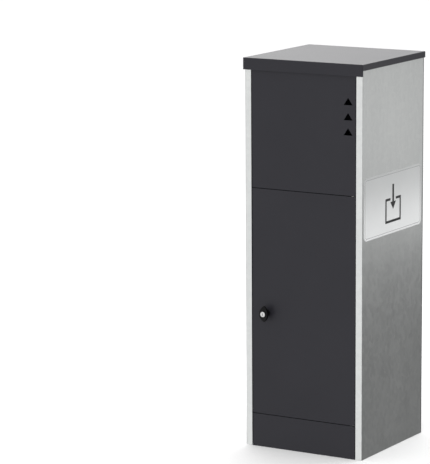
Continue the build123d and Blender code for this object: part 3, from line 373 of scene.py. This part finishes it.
def hexagon_nuts(node, axis, stud_radius):
    """Nuts of a node: the radius follows the hexagon's flats, apothem over the cosine of the angle
    from the middle of the flat, and each face falls away at 30 degrees beyond the apothem."""
    low, high = separate_solids(node)
    across = (high - low)[0, [(axis + 1) % 3, (axis + 2) % 3]] / 2
    apothem = across.min()
    thick = (high - low)[0, axis]
    steps = 48
    corner_first = across[0] > across[1]
    turn = np.arange(steps) * (2 * math.pi / steps) + (math.pi / 6 if corner_first else 0.0)
    flat = apothem / np.cos((turn + math.pi / 6) % (math.pi / 3) - math.pi / 6)
    face_radius = apothem * face_share
    fall = (flat - face_radius) * math.tan(math.radians(30))
    even = np.ones(steps)
    sink = stud_radius * sink_share
    bore = stud_radius * bore_share
    reach = np.stack([even * bore, even * (bore + sink), even * face_radius, flat,
                      flat, even * face_radius, even * (bore + sink), even * bore])
    half = thick / 2
    along = np.stack([even * (half - sink), even * half, even * half, half - fall,
                      fall - half, even * -half, even * -half, even * (sink - half)])
    return around((low + high) / 2, axis, reach, along, steps)


nut_zinc = zinc_plate("zinc_nuts", (0.0, 0.6, 0.0))
for name, node, axis, stud_radius in (("hexagon_frame_nuts", "stud_nuts", 0, radius_m5),
                                      ("hexagon_holder_nuts", "mail_holder_nuts", 1, radius_m4),
                                      ("hexagon_lid_nuts", "lid_hinge_nuts", 2, radius_m4)):
    skin(name, hexagon_nuts(node, axis, stud_radius), True, node, nut_zinc, nut_smooth)


# ---------------------------------------------------------------- blind rivets
# Aluminium-steel blind rivets hold the back panel, the lid hinges, the door brackets and the strike.
# Outside they show a low dome with the hole of the snapped mandrel, inside the upset collar.

def blind_rivets(node, outward):
    """Rivets of a node along Y: a dome that falls from the mandrel hole to the head's rim, the shank,
    and a collar that bulges like a barrel on the blind side."""
    low, high = separate_solids(node)
    centres = (low + high) / 2
    head = (high - low)[0, 0] / 2
    half = (high - low)[0, 1] / 2
    dome = 0.0012
    hole = head * 0.26
    shank = head * 0.5
    bulge = head * 0.72
    out = np.linspace(0, 1, 7)
    dome_reach = hole + (head - hole) * out
    dome_rise = half - dome * 0.85 * out**2.2
    swell = np.linspace(0, math.pi, 9)
    collar_reach = shank + (bulge - shank) * np.sin(swell)
    collar_rise = half - 2 * dome - (2 * half - 2 * dome) * np.linspace(0, 1, 9)
    reach = np.concatenate([[0, hole * 0.8], dome_reach, [head, shank], collar_reach, [hole, 0]])
    rise = np.concatenate([[half - dome * 0.9] * 2, dome_rise, [half - dome] * 2, collar_rise, [-half] * 2])
    return around(centres, 1, reach[:, None], outward * rise[:, None], 32)


rivet_zinc = zinc_plate("zinc_rivets", (0.0, 0.0, 0.9))
for name, node in (("blind_back_rivets", "back_panel_rivets"),
                   ("blind_lid_hinge_rivets", "lid_hinge_rivets"),
                   ("blind_bracket_rivets", "hinge_bracket_rivets"),
                   ("blind_strike_rivets", "lock_catch_rivets")):
    skin(name, blind_rivets(node, 1), False, node, rivet_zinc)


# ---------------------------------------------------------------- turning knob and lock housing
# The knob is moulded in black nylon with glass fibre: a wing shaped like a lens, domed towards its two
# tips, on a round stem, with a seat for the key cylinder. The housing is the flanged barrel behind it.

def moulded_black(name, fine, gloss):
    """Black moulding: almost even colour, fine spark-eroded texture, slightly worn high spots."""
    material, shader, wire = new_finish(name, {"Specular IOR Level": 0.16})
    place = on_object(wire)
    texture = noise(place, fine, 3.0, 0.6)
    cloud = noise(place, 90.0, 2.0)
    deep_black, worn_black = (0.0010, 0.0010, 0.0014, 1.0), (0.0026, 0.0026, 0.0034, 1.0)
    feed(shader, "Base Color", colour_mix(cloud, deep_black, worn_black))
    feed(shader, "Roughness", gloss + texture * 0.12)
    feed(shader, "Normal", bump(texture, 0.00005, 0.5))
    return material


knob_low, knob_high = (np.array(corner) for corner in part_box("lock_knob"))
core_low, core_high = (np.array(corner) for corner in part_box("lock_core"))
lock_axis = (core_low + core_high) / 2
half_wide, knob_deep, half_tall = (knob_high - knob_low) * (0.5, 1.0, 0.5)
seat_play = 0.00008
seat_floor_gap = 0.0003
seat_radius = (core_high - core_low)[0] / 2 + seat_play
seat_rise = knob_high[1] - core_high[1] - seat_floor_gap
stem_radius = 0.008
stem_rise = 0.014
tip_rise = 0.019
edge_round = 0.0022
small_break = 0.0006
tip_softness = 0.004


def lens_knob():
    """The outline is two arcs that meet at softened tips: its radius in a direction is that of a circle
    whose centre lies beyond the axis. The top follows a circle over the long way. Stations climb the
    stem, run out under the wing, climb its wall, turn over a quarter-round edge, cross to the seat and
    go down its bore."""
    steps = 144
    turn = np.arange(steps) * (2 * math.pi / steps)
    offset = (half_tall**2 - half_wide**2) / (2 * half_wide)
    arc = half_wide + offset
    sideways = np.sqrt(np.cos(turn) ** 2 + tip_softness)
    outline = np.sqrt(arc**2 - offset**2 * np.clip(1 - sideways**2, 0, 1)) - offset * sideways
    outline = outline * (1 + (half_tall / outline[steps // 4] - 1) * np.abs(np.sin(turn)) ** 3)
    dome = (half_tall**2 + (knob_deep - tip_rise) ** 2) / (2 * (knob_deep - tip_rise))

    def crown(radius):
        """Height of the domed top at this distance from the axis."""
        long_way = np.minimum(np.abs(radius * np.sin(turn)), half_tall)
        return knob_deep - dome + np.sqrt(dome**2 - long_way**2)

    ones = np.ones((1, steps))
    over = np.linspace(0, math.pi / 2, 7)[1:, None]
    edge = outline - edge_round * (1 - np.cos(over))
    top = edge[-1] + (seat_radius + small_break - edge[-1]) * np.linspace(0, 1, 9)[1:, None]
    reach = np.concatenate([0 * ones, stem_radius * ones, stem_radius * ones, outline[None] - small_break,
                            outline[None], outline[None], edge, top,
                            seat_radius * ones, seat_radius * ones, 0 * ones])
    rise = np.concatenate([0 * ones, 0 * ones, stem_rise * ones, stem_rise * ones,
                           (stem_rise + small_break) * ones, crown(outline)[None] - edge_round,
                           crown(edge) - edge_round * (1 - np.sin(over)), crown(top),
                           crown(seat_radius * ones) - small_break, seat_rise * ones, seat_rise * ones])
    grid = np.zeros((1, len(reach), steps, 3))
    grid[0, ..., 0] = lock_axis[0] + reach * np.cos(turn)
    grid[0, ..., 1] = knob_high[1] - rise
    grid[0, ..., 2] = lock_axis[2] + reach * np.sin(turn)
    return grid


knob_black = moulded_black("moulded_knob", 2200.0, 0.42)
skin("lens_turning_knob", lens_knob(), False, "lock_knob", knob_black, 40.0)
dress("lock_housing", moulded_black("moulded_housing", 1600.0, 0.42))


# ---------------------------------------------------------------- key cylinder
# A nickel-plated brass plug, faced on a lathe, with a keyway slot down its middle.

def turned_nickel(name, centre):
    """Plated lathe work: rings about 0.25 mm apart round the lock's axis, and a faint warm cloud."""
    material, shader, wire = new_finish(name, {"Metallic": 1.0})
    place = on_object(wire, tuple(-centre))
    reach = wire.node("ShaderNodeVectorMath", {"operation": "MULTIPLY"}, {0: place, 1: (1.0, 0.0, 1.0)})
    reach = wire.node("ShaderNodeVectorMath", {"operation": "LENGTH"}, {0: reach}, "Value")
    rings = wire.math("SINE", reach * 25000.0, 0.0) * 0.5 + 0.5
    cloud = noise(place, 220.0)
    feed(shader, "Base Color", colour_mix(cloud, (0.60, 0.60, 0.60, 1.0), (0.68, 0.68, 0.68, 1.0)))
    feed(shader, "Roughness", 0.30 + rings * 0.08 + cloud * 0.06)
    feed(shader, "Normal", bump(rings, 0.000012, 0.5))
    return material


dress("lock_core", turned_nickel("turned_nickel", lock_axis))


# ---------------------------------------------------------------- cam
# The tongue that turns behind the strike: punched steel, yellow chromate over zinc.

def yellow_chromate(name):
    """Yellow chromate: straw gold that drifts to green and rose, with a soft sheen."""
    material, shader, wire = new_finish(name, {"Metallic": 1.0})
    place = on_object(wire)
    drift = noise(place, 110.0, 2.0)
    blush = noise(on_object(wire, (2.0, 0.0, 0.0)), 70.0, 2.0)
    gold = colour_mix(between(drift, 0.35, 0.65), (0.62, 0.46, 0.16, 1.0), (0.58, 0.52, 0.20, 1.0))
    feed(shader, "Base Color", colour_mix(between(blush, 0.55, 0.75), gold, (0.62, 0.40, 0.26, 1.0)))
    feed(shader, "Roughness", 0.28 + drift * 0.14)
    feed(shader, "Normal", bump(noise(place, 2400.0), 0.00002, 0.5))
    return material


dress("lock_cam", yellow_chromate("yellow_chromate"))


# ---------------------------------------------------------------- bushes, buffers and rest pads
# Nylon bushes carry the door on its pins. Rubber buffers meet the door and pads meet the lid.

def soft_plastic(name, first, second, gloss, fine):
    """Small moulded or cut parts: two close tones, dull, with a fine skin."""
    material, shader, wire = new_finish(name, {"Specular IOR Level": 0.4})
    place = on_object(wire)
    cloud = noise(place, 150.0, 2.0)
    skin_grain = noise(place, fine, 2.0)
    feed(shader, "Base Color", colour_mix(cloud, first, second))
    feed(shader, "Roughness", gloss + cloud * 0.1)
    feed(shader, "Normal", bump(skin_grain, 0.00005, 0.6))
    return material


nylon_colours = ((0.70, 0.69, 0.65, 1.0), (0.78, 0.77, 0.73, 1.0))
rubber_colours = ((0.012, 0.012, 0.012, 1.0), (0.022, 0.022, 0.021, 1.0))
nylon = soft_plastic("nylon_bushes", *nylon_colours, 0.4, 1500.0)
rubber = soft_plastic("black_rubber_pads", *rubber_colours, 0.72, 2600.0)
dress("door_hinge_bushes", nylon)
dress("door_buffers", rubber)
dress("lid_rest_pads", rubber)


# ---------------------------------------------------------------- side plate
# A silvery white plate with rounded corners and a thin raised rim, glued to the right wall. It
# carries a generic parcel symbol in dark ink and a fine printed line inside the rim.

plate_low, plate_high = (np.array(corner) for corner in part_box("side_badge_plate"))
plate_middle = (plate_low + plate_high) / 2
plate_half = (plate_high - plate_low) / 2
line_inset = 0.0062
line_half = 0.0005
line_corner = 0.009


def printed_plate(name):
    """Printed plate: grey with painted shading that pales it downwards, and a line where the distance to a
    rounded rectangle is nearly nothing. It is the length of what lies beyond the rectangle's core, less the
    corner radius."""
    material, shader, wire = new_finish(name, {"Metallic": 0.1, "Specular IOR Level": 0.5})
    place = on_object(wire, tuple(-plate_middle))
    away = wire.node("ShaderNodeVectorMath", {"operation": "ABSOLUTE"}, {0: place})
    core = plate_half - line_inset - line_corner
    core_half = (1.0, core[1], core[2])
    beyond = wire.node("ShaderNodeVectorMath", {"operation": "SUBTRACT"}, {0: away, 1: core_half})
    beyond = wire.node("ShaderNodeVectorMath", {"operation": "MAXIMUM"}, {0: beyond, 1: (0.0, 0.0, 0.0)})
    distance = wire.node("ShaderNodeVectorMath", {"operation": "LENGTH"}, {0: beyond}, "Value") - line_corner
    off_line = wire.math("ABSOLUTE", distance, 0.0)
    line = 1.0 - between(off_line, line_half * 0.7, line_half * 1.3)
    cloud = noise(place, 12.0, 2.0)
    brushed = noise(on_object(wire, (0.0, 0.0, 0.0), (1.0, 0.03, 1.0)), 1400.0, 2.0)
    upright = wire.node("ShaderNodeSeparateXYZ", {}, {0: place}, 2)
    # painted shading: the plate's grey runs from darker at its top to paler at its lower edge, standing in
    # for the light on it
    painted_paling_below = 1.0 - between(upright, -plate_half[2], plate_half[2])
    tone = painted_paling_below * 0.8 + cloud * 0.12 + brushed * 0.08
    ground = colour_mix(tone, (0.46, 0.47, 0.47, 1.0), (0.80, 0.81, 0.81, 1.0))
    feed(shader, "Base Color", colour_mix(line, ground, (0.16, 0.165, 0.17, 1.0)))
    feed(shader, "Roughness", 0.34 + brushed * 0.14)
    feed(shader, "Normal", bump(brushed, 0.00001, 0.5))
    return material


def printed_ink(name):
    """Screen-printed ink: near black, with the mesh's faint dots in its gloss."""
    material, shader, wire = new_finish(name, {"Specular IOR Level": 0.4})
    place = on_object(wire)
    dots = noise(place, 1800.0, 1.0)
    cloud = noise(place, 60.0, 2.0)
    feed(shader, "Base Color", colour_mix(cloud, (0.010, 0.010, 0.011, 1.0), (0.018, 0.018, 0.019, 1.0)))
    feed(shader, "Roughness", 0.40 + dots * 0.15)
    feed(shader, "Normal", bump(dots, 0.00001, 0.4))
    return material


dress("side_badge_plate", printed_plate("printed_plate"))
dress("badge_pictogram", printed_ink("printed_ink"))


# ---------------------------------------------------------------- floor and light
# A wide pale floor, a bright even studio that is dimmer low on both far sides and brighter behind
# the lid, a soft box for the upper part of each side wall, and one high overhead.

floor_half = 60.0
floor_mesh = bpy.data.meshes.new("studio_floor")
floor_mesh.from_pydata([(-floor_half, -floor_half, 0.0), (floor_half, -floor_half, 0.0),
                        (floor_half, floor_half, 0.0), (-floor_half, floor_half, 0.0)], [], [(0, 1, 2, 3)])
studio_floor = bpy.data.objects.new("studio_floor", floor_mesh)
bpy.context.scene.collection.objects.link(studio_floor)
studio_floor.location.z = -0.0005
studio_floor.visible_glossy = False
dull = {"Roughness": 0.9, "Specular IOR Level": 0.0}
floor_material, floor_shader, floor_wire = new_finish("pale_floor", dull)
floor_cloud = noise(on_object(floor_wire), 0.8, 2.0)
feed(floor_shader, "Base Color", colour_mix(floor_cloud, (0.93, 0.93, 0.93, 1.0), (0.95, 0.95, 0.95, 1.0)))
floor_mesh.materials.append(floor_material)

world = bpy.data.worlds.new("studio")
world.use_nodes = True
bpy.context.scene.world = world
sky = Wire(world.node_tree)
toward = sky.node("ShaderNodeTexCoord", {}, {}, "Generated")
across, deep, height = (sky.node("ShaderNodeSeparateXYZ", {}, {0: toward}, output) for output in range(3))
far_beside = sky.math("ABSOLUTE", across, 0.0) * 0.75 + deep * 0.66
shade = between(far_beside, 0.15, 0.85) * (1.0 - between(height, -0.05, 0.75))
behind_lid = sky.node("ShaderNodeVectorMath", {"operation": "DOT_PRODUCT"},
                      {0: toward, 1: (-0.46, 0.85, 0.26)}, "Value")
glow = between(behind_lid, 0.75, 0.98) * between(height, 0.0, 0.2)
seen = sky.node("ShaderNodeLightPath", {}, {}, "Is Camera Ray")
level = (1.05 - shade * 0.88 + glow * 1.65) * (1.0 - seen) + seen * 1.02
background = world.node_tree.nodes["Background"]
world.node_tree.links.new(level.socket, background.inputs["Strength"])
background.inputs["Color"].default_value = (1.0, 1.0, 1.0, 1.0)


def soft_box(name, place, target, wide, tall, watts):
    """A rectangular lamp that faces a point."""
    lamp = bpy.data.lights.new(name, "AREA")
    lamp.shape = "RECTANGLE"
    lamp.size = wide
    lamp.size_y = tall
    lamp.energy = watts
    holder = bpy.data.objects.new(name, lamp)
    bpy.context.scene.collection.objects.link(holder)
    holder.location = place
    holder.rotation_euler = (Vector(target) - Vector(place)).to_track_quat("-Z", "Y").to_euler()
    holder.visible_camera = False


for name, side in (("right_soft_box", 1), ("left_soft_box", -1)):
    soft_box(name, (side * 1.05, 1.02, 0.82), (side * 0.19, -0.30, 1.05), 0.95, 0.85, 1.7)
soft_box("top_soft_box", (0.0, 0.3, 5.0), (0.0, 0.0, 0.0), 3.0, 3.0, 60.0)


# ---------------------------------------------------------------- camera
# It stands eight metres off, a little to the right and above, with a long lens.

azimuth, elevation, roll = (math.radians(angle) for angle in (31.15, 10.23, -0.355))
camera_stand = (3.83594443, -7.0276858, 2.07018922)
long_lens = 214.39
level_reach = math.cos(elevation)
back = Vector((math.sin(azimuth) * level_reach, -math.cos(azimuth) * level_reach, math.sin(elevation)))
level_right = Vector((math.cos(azimuth), math.sin(azimuth), 0.0))
level_up = back.cross(level_right)
right = math.cos(roll) * level_right + math.sin(roll) * level_up
up = math.cos(roll) * level_up - math.sin(roll) * level_right
camera_data = bpy.data.cameras.new("studio_camera")
camera_data.lens = long_lens
camera_data.sensor_width = 36.0
camera_data.clip_end = 200.0
camera = bpy.data.objects.new("studio_camera", camera_data)
bpy.context.scene.collection.objects.link(camera)
camera.matrix_world = Matrix((right, up, back)).transposed().to_4x4()
camera.location = camera_stand
bpy.context.scene.camera = camera
bpy.context.scene.view_settings.view_transform = "Standard"
